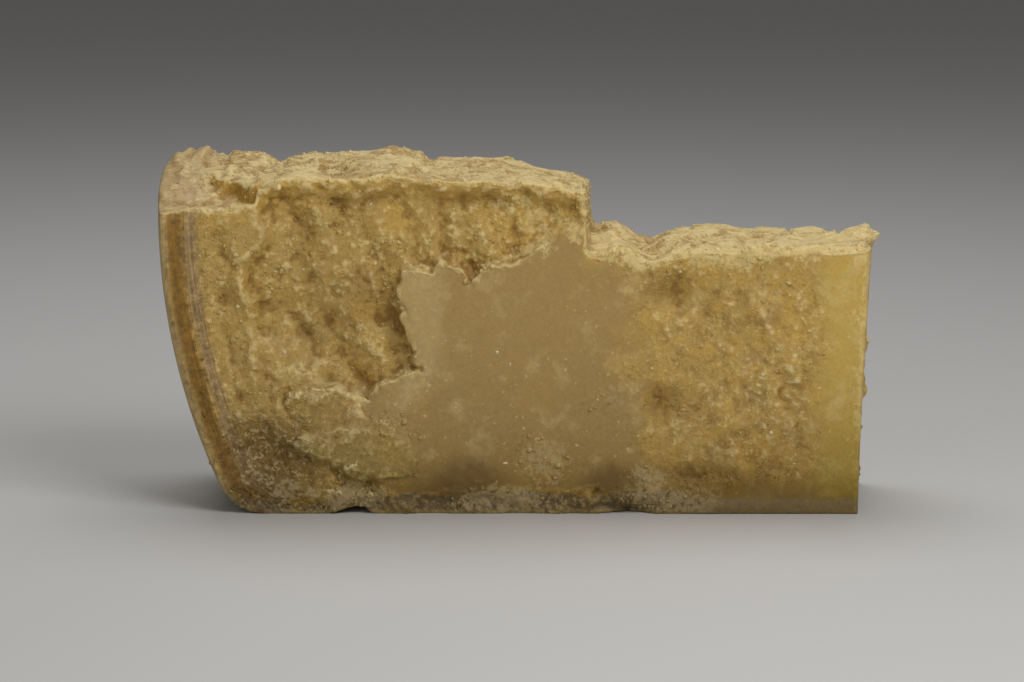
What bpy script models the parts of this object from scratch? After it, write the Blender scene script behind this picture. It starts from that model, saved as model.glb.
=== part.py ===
"""A broken chunk of hard aged cheese: one solid that stands on the flat rind of its wheel.

+X runs from the barrelled rind side to the cut end, +Y from the broken face that shows to the
one behind it, and +Z up. The origin is in the middle of the base. Lengths are in metres.

The chunk is a block of grid lines whose six sides are bent to the real outline. Inside this
script x runs from the rind's furthest point, y from the flat of the front face, z from the base.
"""

import bmesh
import bpy
import numpy as np

# Overall form.
LENGTH = 0.218
TALL = 0.1012
LOW = 0.0808
DEPTH_AT_RIND = 0.075
DEPTH_AT_CUT = 0.050

# The rind side: the wheel's barrelled flank, upright at half the wheel's height.
WHEEL_RADIUS = 0.220
WHEEL_HALF_HEIGHT = 0.090
BARREL_RADIUS = 0.197
BASE_CORNER_RADIUS = 0.008
RIND_CROWN_Y = 0.024

# The cut end leans out towards its top and towards the back.
CUT_X = 0.2113
CUT_LEAN = 0.0034
CUT_SLANT = 0.0035

# The top breaks down from tall to low across a nearly upright wall.
STEP_X = 0.1300
STEP_HALF_RUN = 0.0005
STEP_FALL_FRONT = 0.0026
STEP_FALL_BACK = 0.0060
STEP_FALL_START = 0.1050

# Each lump across the top: place along the back, reach to each side, height at front and back.
TOP_LUMPS = (
    (0.0065, 0.0060, 0.0006, 0.0018),
    (0.0305, 0.0052, -0.0012, -0.0036),
    (0.0430, 0.0060, 0.0010, -0.0010),
    (0.0680, 0.0180, 0.0014, 0.0028),
    (0.0785, 0.0032, 0.0012, -0.0020),
    (0.0955, 0.0120, 0.0000, 0.0017),
    (0.1360, 0.0060, 0.0004, 0.0014),
    (0.1460, 0.0110, -0.0052, -0.0050),
    (0.1925, 0.0050, -0.0006, -0.0018),
    (0.2150, 0.0100, 0.0014, 0.0008),
)
LUMP_DRIFT = 0.0035
LUMP_WEAVE = 0.0025
LUMP_TURNS = 1.5

# A block beside the rind has lost the front of its top.
LEDGE_END_X = 0.0310
LEDGE_DROP = 0.0085
LEDGE_REACH = 0.45

# The rough hollow broken out of the front, as x and z round its edge.
HOLLOW_DEPTH = 0.0058
HOLLOW_WALL = 0.0050
HOLLOW_EDGE = (
    (0.0320, 0.0985), (0.0600, 0.1000), (0.0900, 0.1000), (0.1180, 0.0965), (0.1290, 0.0910),
    (0.1195, 0.0800), (0.1030, 0.0760), (0.0945, 0.0720), (0.0740, 0.0730), (0.0745, 0.0560),
    (0.0770, 0.0490), (0.0730, 0.0400), (0.0630, 0.0350), (0.0430, 0.0390), (0.0330, 0.0400),
    (0.0250, 0.0650), (0.0320, 0.0790),
)

# A thin flake of paste stands up below the hollow.
FLAKE_HEIGHT = 0.0016
FLAKE_WALL = 0.0030
FLAKE_EDGE = (
    (0.0400, 0.0200), (0.0430, 0.0385), (0.0580, 0.0355), (0.0660, 0.0320),
    (0.0800, 0.0180), (0.0840, 0.0060), (0.0600, 0.0080),
)

# Shallow rounded losses: x and z of the middle, reach along each, depth.
FRONT_DISHES = (
    (0.1640, 0.0520, 0.0300, 0.0420, 0.0026),
    (0.1620, 0.0640, 0.0120, 0.0120, 0.0018),
    (0.0310, 0.0170, 0.0130, 0.0150, 0.0018),
    (0.1420, 0.0000, 0.0100, 0.0055, 0.0030),
)
BACK_DISHES = (
    (0.0520, 0.0760, 0.0380, 0.0340, 0.0055),
    (0.1120, 0.0300, 0.0340, 0.0280, 0.0038),
    (0.1750, 0.0580, 0.0300, 0.0300, 0.0036),
    (0.0740, 0.0120, 0.0220, 0.0160, 0.0026),
)

# The natural unevenness of broken paste: cell size, height, seed.
FRONT_GRAIN = (0.0085, 0.0007, 3)
FULLY_ROUGH_DEPTH = 0.0015
BACK_GRAIN = (0.0080, 0.0011, 5)
BACK_RIDGES = (0.0150, 0.0018, 7)
BACK_WAVE = (0.0500, 0.0028, 6)
TOP_GRAIN = (0.0120, 0.0011, 8)
RIDGE_STRETCH = 0.45
NOISE_LATTICE = 64

# Grid lines: how many along, up and through, and those placed at a sharp change.
LINES_ALONG = 56
LINES_UP = 24
LINES_THROUGH = 12
STEP_LINES = (STEP_X - STEP_HALF_RUN, STEP_X + STEP_HALF_RUN)
NEAREST_LINES = 0.0018
BASE_LINES = (0.0, 0.008, 0.030, 0.070)

PASTE_COLOUR = (0.560, 0.400, 0.170, 1.0)
PASTE_ROUGHNESS = 0.55


def ease(value, start, end):
    """Smooth rise from 0 at start to 1 at end."""
    t = np.clip((value - start) / (end - start), 0.0, 1.0)
    return t * t * (3.0 - 2.0 * t)


def hump(value, centre, reach):
    """Smooth hump, 1 at its centre and 0 from its reach outwards."""
    return ease(reach - np.abs(value - centre), 0.0, reach)


def grain(a, b, cell, height, seed):
    """Seeded uneven surface over a and b, with lumps about one cell across."""
    lattice = np.random.default_rng(seed).uniform(-height, height, (NOISE_LATTICE, NOISE_LATTICE))
    column, row = np.floor(a / cell).astype(int), np.floor(b / cell).astype(int)
    along, up = ease(a / cell - column, 0.0, 1.0), ease(b / cell - row, 0.0, 1.0)
    column, row = column % (NOISE_LATTICE - 1), row % (NOISE_LATTICE - 1)
    lower = lattice[column, row] * (1.0 - along) + lattice[column + 1, row] * along
    upper = lattice[column, row + 1] * (1.0 - along) + lattice[column + 1, row + 1] * along
    return lower * (1.0 - up) + upper * up


def inside_by(x, z, edge):
    """Distance inside a closed outline of straight runs, negative outside it."""
    nearest = np.full(x.shape, np.inf)
    inside = np.zeros(x.shape, bool)
    for (ax, az), (bx, bz) in zip(edge, edge[1:] + edge[:1]):
        run, climb = bx - ax, bz - az
        along = np.clip(((x - ax) * run + (z - az) * climb) / (run * run + climb * climb), 0.0, 1.0)
        nearest = np.minimum(nearest, np.hypot(x - ax - along * run, z - az - along * climb))
        if climb:
            crosses = ((az > z) != (bz > z)) & (x < ax + (z - az) * run / climb)
            inside ^= crosses
    return np.where(inside, nearest, -nearest)


def top_height(x, through):
    """Height of the top: two levels with a step, lumps, notches and the broken ledge."""
    stepped = ease(x, STEP_X - STEP_HALF_RUN, STEP_X + STEP_HALF_RUN)
    height = TALL + (LOW - TALL) * stepped
    drift = LUMP_DRIFT * (1.0 - through) + LUMP_WEAVE * np.sin(2.0 * np.pi * LUMP_TURNS * through)
    for centre, reach, front_rise, back_rise in TOP_LUMPS:
        rise = front_rise + (back_rise - front_rise) * through
        height = height + rise * hump(x - drift, centre, reach)
    fall = STEP_FALL_FRONT + (STEP_FALL_BACK - STEP_FALL_FRONT) * through
    fall = fall * ease(x, STEP_FALL_START, STEP_X) * (1.0 - stepped)
    beside_rind = 1.0 - ease(x, LEDGE_END_X - 0.002, LEDGE_END_X + 0.002)
    ledge = beside_rind * (1.0 - ease(through, 0.0, LEDGE_REACH))
    cell, rise, seed = TOP_GRAIN
    uneven = grain(x, through * DEPTH_AT_RIND, cell, rise, seed)
    return height - fall - LEDGE_DROP * ledge + uneven


def rind_x(z, y):
    """The rind side: a barrel in profile, an arc of the wheel in plan, a rounded base corner."""
    drop = WHEEL_HALF_HEIGHT - z
    barrel = BARREL_RADIUS - np.sqrt(BARREL_RADIUS ** 2 - drop ** 2)
    wheel = (y - RIND_CROWN_Y) ** 2 / (2.0 * WHEEL_RADIUS)
    below = np.clip(BASE_CORNER_RADIUS - z, 0.0, BASE_CORNER_RADIUS)
    corner = BASE_CORNER_RADIUS - np.sqrt(BASE_CORNER_RADIUS ** 2 - below ** 2)
    return barrel + wheel + corner


def cut_x(z, through):
    """The cut end, nearly flat."""
    return CUT_X + CUT_LEAN * (z / LOW) ** 1.5 + CUT_SLANT * through


def dish_depths(x, z, dishes):
    """Depth of each rounded loss in turn at x and z."""
    for middle_x, middle_z, reach_x, reach_z, depth in dishes:
        away = np.hypot((x - middle_x) / reach_x, (z - middle_z) / reach_z)
        yield depth * (1.0 - ease(away, 0.0, 1.0))


def front_recess(x, z):
    """How far the front face lies behind its flat: hollow, flake, dishes and fine unevenness."""
    hollow = ease(inside_by(x, z, HOLLOW_EDGE), -HOLLOW_WALL / 4, HOLLOW_WALL)
    flake = ease(inside_by(x, z, FLAKE_EDGE), -FLAKE_WALL, FLAKE_WALL)
    recess = HOLLOW_DEPTH * hollow - FLAKE_HEIGHT * flake
    dishes = sum(dish_depths(x, z, FRONT_DISHES))
    rough = np.clip(hollow + flake + dishes / FULLY_ROUGH_DEPTH, 0.0, 1.0)
    return recess + dishes + rough * grain(x, z, *FRONT_GRAIN)


def depth_at(x, z):
    """Distance from the flat of the front face to the broken face behind."""
    narrowing = DEPTH_AT_RIND + (DEPTH_AT_CUT - DEPTH_AT_RIND) * x / LENGTH
    ridges = grain(x + RIDGE_STRETCH * z, RIDGE_STRETCH * z, *BACK_RIDGES)
    uneven = grain(x, z, *BACK_WAVE) + ridges + grain(x, z, *BACK_GRAIN)
    return narrowing + uneven - sum(dish_depths(x, z, BACK_DISHES))


def grid_lines():
    """Fractions along, up and through at which the block's grid lines run."""
    evenly = [x for x in np.linspace(0.0, LENGTH, LINES_ALONG)
              if min(abs(x - line) for line in STEP_LINES) > NEAREST_LINES]
    along = np.array(sorted([*evenly, *STEP_LINES])) / LENGTH
    up = np.array([*BASE_LINES, *np.linspace(BASE_LINES[-1], 1.0, LINES_UP)[1:]])
    through = np.linspace(0.0, 1.0, LINES_THROUGH)
    return along, up, through


def place(along, up, through):
    """The point of the chunk at each grid fraction."""
    z = up * top_height(along * LENGTH, through)
    narrowing = DEPTH_AT_RIND + (DEPTH_AT_CUT - DEPTH_AT_RIND) * along
    rind = rind_x(z, through * narrowing)
    x = rind + along * (cut_x(z, through) - rind)
    front = front_recess(x, z)
    y = front + through * (depth_at(x, z) - front)
    return np.stack([x, y, z], axis=-1)


def block_surface(along, up, through):
    """Points on the six sides of the block, and the quads between them, facing outwards."""
    counts = (len(along), len(up), len(through))
    index = {}
    fractions = []

    def corner(cell):
        if cell not in index:
            index[cell] = len(fractions)
            fractions.append((along[cell[0]], up[cell[1]], through[cell[2]]))
        return index[cell]

    quads = []
    for axis in range(3):
        first, second = [other for other in range(3) if other != axis]
        for end in (0, counts[axis] - 1):
            for i in range(counts[first] - 1):
                for j in range(counts[second] - 1):
                    ring = []
                    for step_i, step_j in ((0, 0), (1, 0), (1, 1), (0, 1)):
                        cell = [0, 0, 0]
                        cell[axis], cell[first], cell[second] = end, i + step_i, j + step_j
                        ring.append(corner(tuple(cell)))
                    quads.append(ring)
    return np.array(fractions), quads


def paste_material():
    """Waxy, matt, straw-coloured cheese paste."""
    material = bpy.data.materials.new("cheese_paste")
    material.use_nodes = True
    shader = material.node_tree.nodes["Principled BSDF"]
    shader.inputs["Base Color"].default_value = PASTE_COLOUR
    shader.inputs["Roughness"].default_value = PASTE_ROUGHNESS
    shader.inputs["Metallic"].default_value = 0.0
    return material


def build_chunk():
    """Make the one solid, with its origin in the middle of the base."""
    fractions, quads = block_surface(*grid_lines())
    points = place(*fractions.T)
    low, high = points.min(axis=0), points.max(axis=0)
    points -= [(low[0] + high[0]) / 2, (low[1] + high[1]) / 2, low[2]]

    shape = bmesh.new()
    corners = [shape.verts.new(point) for point in points.tolist()]
    for quad in quads:
        shape.faces.new([corners[i] for i in quad])
    bmesh.ops.recalc_face_normals(shape, faces=shape.faces)
    mesh = bpy.data.meshes.new("cheese_chunk")
    shape.to_mesh(mesh)
    shape.free()
    mesh.shade_smooth()
    mesh.materials.append(paste_material())
    chunk = bpy.data.objects.new("cheese_chunk", mesh)
    bpy.context.collection.objects.link(chunk)


for leftover in list(bpy.data.objects):
    bpy.data.objects.remove(leftover)
build_chunk()
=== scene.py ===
import itertools
import math
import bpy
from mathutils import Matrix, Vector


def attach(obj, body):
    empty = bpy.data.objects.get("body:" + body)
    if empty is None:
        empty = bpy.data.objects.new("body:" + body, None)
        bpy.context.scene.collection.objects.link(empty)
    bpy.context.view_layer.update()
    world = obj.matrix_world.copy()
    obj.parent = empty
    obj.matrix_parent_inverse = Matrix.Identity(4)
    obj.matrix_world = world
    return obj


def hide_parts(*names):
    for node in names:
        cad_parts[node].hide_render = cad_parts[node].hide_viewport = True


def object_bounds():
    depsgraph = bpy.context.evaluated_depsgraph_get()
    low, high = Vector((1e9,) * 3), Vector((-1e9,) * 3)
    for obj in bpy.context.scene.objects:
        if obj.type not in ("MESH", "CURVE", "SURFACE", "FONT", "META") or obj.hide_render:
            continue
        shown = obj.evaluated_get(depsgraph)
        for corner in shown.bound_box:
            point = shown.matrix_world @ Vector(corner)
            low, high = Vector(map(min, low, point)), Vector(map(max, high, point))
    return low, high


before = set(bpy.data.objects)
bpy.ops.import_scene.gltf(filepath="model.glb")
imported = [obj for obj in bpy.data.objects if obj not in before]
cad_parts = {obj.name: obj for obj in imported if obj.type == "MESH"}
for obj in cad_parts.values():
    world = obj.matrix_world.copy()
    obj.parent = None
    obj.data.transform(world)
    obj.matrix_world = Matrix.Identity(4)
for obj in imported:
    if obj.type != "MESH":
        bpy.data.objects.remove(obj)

from types import SimpleNamespace

import bmesh
import bpy
import numpy as np
from mathutils import Matrix, Vector
from mathutils.bvhtree import BVHTree

cad_low, cad_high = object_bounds()

# ------------------------------------------------------------
# The broken body.
# One piece of a hard aged wheel, split out with a short blade so that the paste tears along
# its grain. Its outline is the frame's solid, recut into fine cells and then torn in detail.
# Below, x runs from the rind's furthest point, y from the flat of the front, z from the base.

body_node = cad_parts["cheese_chunk"]
LENGTH = cad_high.x - cad_low.x
FIRST_CELL, SECOND_CELL = 0.00075, 0.0006
BASE_SLICE = 0.0002
STEP_X = 0.13
RIND_REACH = 0.045
LATTICE = 48
TRIANGLE_LIMIT = 194000


def ease(value, start, end):
    """Smooth rise from 0 at start to 1 at end."""
    t = np.clip((value - start) / (end - start), 0.0, 1.0)
    return t * t * (3.0 - 2.0 * t)


def fade(value, start, end):
    """Smooth fall from 1 at start to 0 at end."""
    return 1.0 - ease(value, start, end)


def seeded_lattice(seed, channels=()):
    """Random values from -1 to 1 on a repeating block of lattice points."""
    return np.random.default_rng(seed).uniform(-1.0, 1.0, (LATTICE, LATTICE, LATTICE) + channels)


def swell(points, cell, seed):
    """Smooth uneven field from -1 to 1 in space, with lumps about one cell across."""
    lattice = seeded_lattice(seed)
    scaled = points / np.asarray(cell)
    whole = np.floor(scaled).astype(int)
    part = ease(scaled - whole, 0.0, 1.0)
    total = np.zeros(len(points))
    for corner in itertools.product((0, 1), repeat=3):
        weight = np.prod(np.where(corner, part, 1.0 - part), axis=1)
        total += weight * lattice[tuple((whole + corner).T % LATTICE)]
    return total


def kernels(points, cell, seed):
    """Rounded kernels of uneven height packed together, from about -0.6 to 0.4."""
    lattice = seeded_lattice(seed, (4,))
    scaled = points / np.asarray(cell)
    whole = np.floor(scaled).astype(int)
    height = np.full(len(points), -np.inf)
    for step in itertools.product((-1, 0, 1), repeat=3):
        square = whole + step
        drawn = lattice[tuple(square.T % LATTICE)]
        away = ((scaled - square - 0.5 - 0.42 * drawn[:, :3]) ** 2).sum(axis=1)
        height = np.maximum(height, 0.35 * drawn[:, 3] - away)
    return height + 0.15


def away_from(x, z, line):
    """Distance from an open line of straight runs."""
    nearest = np.full(x.shape, np.inf)
    for (ax, az), (bx, bz) in zip(line, line[1:]):
        run, climb = bx - ax, bz - az
        along = np.clip(((x - ax) * run + (z - az) * climb) / (run * run + climb * climb), 0.0, 1.0)
        nearest = np.minimum(nearest, np.hypot(x - ax - along * run, z - az - along * climb))
    return nearest


def inside_by(x, z, edge):
    """Distance inside a closed outline of straight runs, negative outside it."""
    closed = edge + edge[:1]
    inside = np.zeros(x.shape, bool)
    for (ax, az), (bx, bz) in zip(closed, closed[1:]):
        if bz != az:
            inside ^= ((az > z) != (bz > z)) & (x < ax + (z - az) * (bx - ax) / (bz - az))
    nearest = away_from(x, z, closed)
    return np.where(inside, nearest, -nearest)


def read_points(mesh):
    """The mesh's points, its point normals and its edges as arrays."""
    points = np.empty(len(mesh.vertices) * 3, np.float32)
    mesh.vertices.foreach_get("co", points)
    normals = np.empty(len(mesh.vertices) * 3, np.float32)
    mesh.vertex_normals.foreach_get("vector", normals)
    edges = np.empty(len(mesh.edges) * 2, np.int32)
    mesh.edges.foreach_get("vertices", edges)
    return points.reshape(-1, 3).astype(float), normals.reshape(-1, 3).astype(float), edges.reshape(-1, 2)


def write_points(mesh, points):
    """Move the mesh's points."""
    mesh.vertices.foreach_set("co", points.astype(np.float32).ravel())
    mesh.update()


def blurred(values, edges, times):
    """Values at the points after trading with their neighbours so many times."""
    ends, starts = edges.T
    neighbours = np.bincount(edges.ravel(), minlength=len(values))[:, None]
    for _ in range(times):
        columns = []
        for column in values.T:
            shared = np.bincount(ends, column[starts], len(values))
            columns.append(shared + np.bincount(starts, column[ends], len(values)))
        values = 0.5 * values + 0.5 * np.stack(columns, axis=1) / neighbours
    return values


def placed(name, data):
    """A new object in the scene."""
    thing = bpy.data.objects.new(name, data)
    bpy.context.scene.collection.objects.link(thing)
    return thing


def finished(mesh, kind, **settings):
    """A new mesh: the given one after one modifier."""
    holder = placed("holder", mesh)
    modifier = holder.modifiers.new("step", kind)
    for name, setting in settings.items():
        setattr(modifier, name, setting)
    evaluated = holder.evaluated_get(bpy.context.evaluated_depsgraph_get())
    result = bpy.data.meshes.new_from_object(evaluated)
    bpy.data.objects.remove(holder)
    return result


def recut(mesh, cell):
    """The same solid in even cells, its overlapping shells joined."""
    return finished(mesh, "REMESH", mode="VOXEL", voxel_size=cell, adaptivity=0.0)


def solid_copy():
    """The frame's solid with its loose triangles merged."""
    shape = bmesh.new()
    shape.from_mesh(body_node.data)
    bmesh.ops.remove_doubles(shape, verts=shape.verts, dist=1e-6)
    return shape


frame_shape = solid_copy()
frame_shape.verts.ensure_lookup_table()
frame_points = np.array([vertex.co for vertex in frame_shape.verts])
on_base = frame_points[:, 2] < cad_low.z + BASE_SLICE
FRONT_FLAT_Y = frame_points[on_base, 1].min()
ORIGIN = np.array([cad_low.x, FRONT_FLAT_Y, cad_low.z])

# A small pointed flake stands off the top corner of the cut end, and a torn fringe off its far
# upright edge. They are closed lumps that the recut joins to the body.
CORNER_FLAKE_AT = (0.2152, 0.024, 0.0826)
CORNER_FLAKE_SIZE = (0.0054, 0.0085, 0.0013)
FRINGE_LINE = (0.2156, 0.0478)
FRINGE_FROM_Z, FRINGE_TO_Z = 0.03, 0.075
FRINGE_LUMPS = 26


def add_lump(shape, middle, size, turn=0.0):
    """A closed rounded lump, flattened to its size."""
    place = Matrix.Translation(Vector(middle) + Vector(ORIGIN))
    stretch = Matrix.Diagonal((*size, 1.0))
    bmesh.ops.create_icosphere(
        shape, subdivisions=3, radius=1.0, matrix=place @ Matrix.Rotation(turn, 4, "Y") @ stretch)


add_lump(frame_shape, CORNER_FLAKE_AT, CORNER_FLAKE_SIZE, turn=0.1)
fringe_random = np.random.default_rng(17)
for height in np.linspace(FRINGE_FROM_Z, FRINGE_TO_Z, FRINGE_LUMPS):
    out = FRINGE_LINE[0] + fringe_random.uniform(-0.0009, 0.001)
    back = FRINGE_LINE[1] + fringe_random.uniform(-0.0024, 0.0012)
    girth = fringe_random.uniform(0.0006, 0.0015)
    add_lump(frame_shape, (out, back, height), (girth * 1.3, girth, girth * 1.1))

coarse_mesh = bpy.data.meshes.new("coarse")
frame_shape.to_mesh(coarse_mesh)
frame_shape.free()

MM = 1000.0  # in a metre


def from_mm(table):
    """A table of millimetres in metres."""
    return tuple(from_mm(row) if isinstance(row, (tuple, list)) else round(row / MM, 7)
                 for row in table)


# The front's tables are in millimetres. Where it is torn open, as x and z round the edge.
HOLLOW_EDGE = from_mm((
    (23, 96.8), (23, 106), (60, 108), (90, 108), (112, 108), (135, 108), (135, 91.5), (128, 88),
    (120, 82.5), (110.5, 78.3), (102.7, 75.9), (98.5, 74.7), (94.6, 70.4), (90.1, 75.3), (86.4, 76.8),
    (82.6, 74.4), (77.5, 74.3), (74.5, 73.8), (73.9, 70.8), (72, 68.8), (73, 66.2), (72.2, 63.4),
    (74.2, 61.8), (73.6, 58.4), (75.2, 56), (74.5, 53.5), (77.2, 51.3), (76.6, 48.2), (79.5, 43.7),
    (73.5, 42.8), (72.9, 39.8), (67.2, 39.2), (63.1, 34.9), (58, 35.5), (53.5, 38.9), (43, 39.2),
    (34.3, 38), (29, 44), (27, 56), (27.2, 64), (25, 70), (26.2, 77.5), (31.1, 80), (31.9, 85),
    (30, 94.5),
))
HOLLOW_DEPTH = 0.004
SOFT_WALL, SHARP_WALL = 0.009, 0.0013

# Grooves and ridges of the front: depth (minus stands up), half width, line as x and z.
FOLDS = from_mm((
    (1.5, 9, ((66, 72.5), (68, 65.5), (70, 60))),
    (1.4, 8, ((70, 57), (72.5, 51.5))),
    (0.9, 4, ((71.5, 43.5), (72.5, 39.5))),
    (1.7, 4.8, ((42.5, 58.5), (46.5, 50), (50, 41.5))),
    (1.9, 4.8, ((53, 56), (57, 46.5), (62.5, 37))),
    (1.2, 5, ((43, 54.5), (50, 53))),
    (-1, 5.2, ((45, 60), (50, 62.5), (56, 61))),
    (-0.8, 6, ((58, 58), (64, 52), (69, 45))),
    (-1.6, 9, ((34, 48), (40, 44), (47, 41.5))),
    (1.2, 4.4, ((86, 93), (85, 84), (87, 79))),
    (1.8, 3.4, ((107, 88), (108.5, 81), (106, 80))),
    (2.4, 2.6, ((94.6, 76), (94.8, 71.5))),
    (1.2, 4.4, ((118, 93), (115, 86), (116, 82))),
    (-1.2, 4.8, ((96, 93), (97, 86), (99, 80))),
    (-1, 4.8, ((48, 98), (49, 88), (52, 80))),
    (1, 4.4, ((40, 90), (42, 80), (46, 70))),
    (-0.4, 1.2, ((86.2, 74.5), (85.8, 66), (86.6, 56))),
    (1, 3.2, ((18, 85), (23, 74), (21.5, 64))),
    (-1.2, 3.4, ((27, 78), (24.5, 70), (29, 62))),
    (0.8, 2.8, ((20.5, 56), (24, 45), (29, 36))),
    (-0.8, 3, ((28.5, 56), (30, 45))),
))

# Two thin plates of paste that lie over the front below the hollow, as x and z round the edge.
UPPER_PLATE = from_mm((
    (38.8, 34.9), (42.4, 38.9), (46, 39.8), (50.5, 38.6), (53.8, 39.2), (56.5, 36.7), (59.5, 34.9),
    (63.1, 31.6), (70, 28), (78, 20), (64, 22), (52.3, 24), (44.5, 26.4), (40.3, 29.5),
))
LOWER_PLATE = from_mm((
    (39.7, 21.3), (43.9, 24.9), (52.3, 26.2), (66.1, 27.6), (76.6, 23.4), (79.6, 17.3), (79, 11.8),
    (73, 9.7), (63.1, 9.7), (58, 11.8), (52.9, 14.3), (47.5, 17.9), (43, 19.1),
))
# The rough dark place between rind and plates, as x and z round the edge.
LOW_TEAR = from_mm((
    (20, 25), (24, 47), (36, 46), (44, 41), (46, 33), (48, 28), (46, 23), (54, 19), (64, 13), (68, 9),
    (64, 6), (52, 6.2), (36, 7.8), (30, 5), (24, 8),
))
PLATE_THICKNESS = 0.0019
PLATE_WALL = 0.0009

# Rounded losses of the front: x and z of the middle, reach along each, depth.
FRONT_DISHES = from_mm((
    (164, 52, 30, 42, 2.2), (156, 68, 11, 9, 1.8), (164, 60, 10, 12, 1.2), (151, 34, 11, 8, 1.4),
    (162, 12, 14, 6, 1.4), (188, 64, 6, 11, 1), (31, 17, 13, 17, 2.6), (42, 12, 14, 8, 1.2),
    (142, 0, 9, 4.5, 3.4), (90, 4, 40, 6, 0.8),
))


def torn(points, scale, seed):
    """The points nudged about, so that an outline read at them comes out ragged."""
    nudge = []
    for axis in range(3):
        coarse = swell(points, 0.0065, seed + axis)
        fine = swell(points, 0.0026, seed + 3 + axis)
        finest = swell(points, 0.0013, seed + 6 + axis)
        nudge.append(coarse + 0.6 * fine + 0.35 * finest)
    return points + scale * np.stack(nudge, axis=1)


def front_parts(points, lip_height):
    """How strongly each part of the front is present at the points, from 0 to 1."""
    ragged = torn(points, 0.0015, seed=20)
    x, _, z = ragged.T
    wander = 0.006 * swell(points, 0.015, 26) + 0.003 * swell(points, 0.0055, 27)
    sharp = np.maximum(ease(x, 0.055, 0.066) * fade(x, 0.112, 0.122),
                       ease(x, 0.046, 0.054) * fade(z, 0.041, 0.046))
    sharp = np.maximum(sharp, 0.55 * fade(x, 0.036, 0.044) * ease(z, 0.058, 0.064))
    brink = fade(np.abs(inside_by(x, z, HOLLOW_EDGE)), 0.0004, 0.0018)
    brink *= sharp * fade(z, 0.094, 0.097) * (0.3 + 0.7 * ease(x, 0.04, 0.05))
    wall = SOFT_WALL + (SHARP_WALL - SOFT_WALL) * sharp
    below = lip_height - z
    under_lip = ease(below + 0.12 * wander, 0.0008, 0.007)
    open_tear = ease(inside_by(x, z, HOLLOW_EDGE), -0.1 * wall, wall)
    upper = ease(inside_by(x, z, UPPER_PLATE), -PLATE_WALL * 0.3, PLATE_WALL)
    lower = ease(inside_by(x, z, LOWER_PLATE), -PLATE_WALL * 0.3, PLATE_WALL)
    right = ease(x + wander, 0.134, 0.154) * fade(x - 0.5 * wander, 0.19, 0.206)
    right *= ease(z + 0.7 * wander, 0.004, 0.016)
    left = ease(x, 0.006, 0.016) * fade(x + wander, 0.03, 0.042) * ease(z, 0.002, 0.01)
    foot = fade(z + 0.25 * wander, 0.004, 0.009) * fade(x + wander, 0.152, 0.166)
    low = ease(inside_by(x, z, LOW_TEAR), -0.0006, 0.0028)
    return SimpleNamespace(
        torn_hollow=open_tear * ease(below, 0.0, 0.0016), hollow=open_tear * under_lip,
        torn_right=right * ease(below, 0.0, 0.004), right=right * ease(below, 0.001, 0.011),
        upper=upper, lower=lower, left=left, foot=foot, low=low, brink=brink)


def front_recess(points, parts):
    """How far each part of the front lies behind its flat, without the fine grain."""
    ragged = torn(points, 0.001, seed=30)
    x, _, z = ragged.T
    flat_points = points * (1.0, 0.0, 1.0)
    undulation = 0.001 * swell(flat_points, 0.012, 31) + 0.0006 * swell(flat_points, 0.006, 33)
    recess = parts.hollow * (HOLLOW_DEPTH + undulation)
    torn_share = np.maximum.reduce([parts.hollow, parts.right, parts.left])
    for depth, reach, line in FOLDS:
        recess += depth * fade(away_from(x, z, line), 0.0, reach) * ease(torn_share, -0.4, 0.4)
    for middle_x, middle_z, reach_x, reach_z, depth in FRONT_DISHES:
        away = np.hypot((x - middle_x) / reach_x, (z - middle_z) / reach_z)
        recess += depth * fade(away, 0.0, 1.0)
    upper_tilt = 0.3 + 0.7 * ease(z, 0.024, 0.04)
    lower_tilt = 1.0 - 0.85 * ease(x, 0.05, 0.078)
    plates = np.maximum(parts.upper * upper_tilt, parts.lower * lower_tilt)
    recess -= PLATE_THICKNESS * plates * (1.0 + 0.3 * swell(flat_points, 0.006, 34))
    recess += 0.0006 * parts.right * swell(flat_points, (0.006, 1.0, 0.011), 35)
    recess += 0.0004 * swell(flat_points, (0.03, 1.0, 0.024), 32)
    recess += 0.0006 * parts.foot * (0.6 + swell(flat_points, 0.005, 36))
    low_swell = 0.7 + swell(flat_points, 0.006, 37)
    recess += 0.0011 * parts.low * low_swell * fade(z, 0.03, 0.04)
    recess -= 0.0003 * ease(x, 0.158, 0.166) * fade(z, 0.0044, 0.0054)
    return recess


# The ledge beside the rind: where it ends, its drop below the top, how deep it runs, and how
# much it climbs towards its end.
LEDGE_END = 0.0304
LEDGE_DROP, LEDGE_DEPTH, LEDGE_CLIMB = 0.0062, 0.023, 0.0012
LEDGE_WARP_FROM, LEDGE_WARP_TO = 0.088, 0.1
# Bumps along the far edge of the top: from x, to x, rise.
FAR_BUMPS = from_mm((
    (2.8, 7.8, 1.9), (8, 12.6, 0.8), (12.2, 20, -1.6),
    (37.4, 48, 1.2), (78.8, 84, -1.1), (191.2, 193.4, -1.4),
))


def squared_ledge(points):
    """The points warped upright so that the ledge ends in a steep wall."""
    x, y, z = points.T
    drop = LEDGE_DROP * fade(y, -0.004, LEDGE_DEPTH)
    soft_end = fade(x, LEDGE_END - 0.0029, LEDGE_END + 0.0031)
    steep_end = fade(x, LEDGE_END - 0.0005, LEDGE_END + 0.0005)
    surface = LEDGE_WARP_TO - drop * soft_end
    share = np.clip((z - LEDGE_WARP_FROM) / (surface - LEDGE_WARP_FROM), 0.0, 1.0)
    climb = LEDGE_CLIMB * ease(x, 0.01, 0.028) * steep_end * drop / LEDGE_DROP
    warped = points.copy()
    warped[:, 2] += (drop * (soft_end - steep_end) + climb) * share
    return warped


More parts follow.
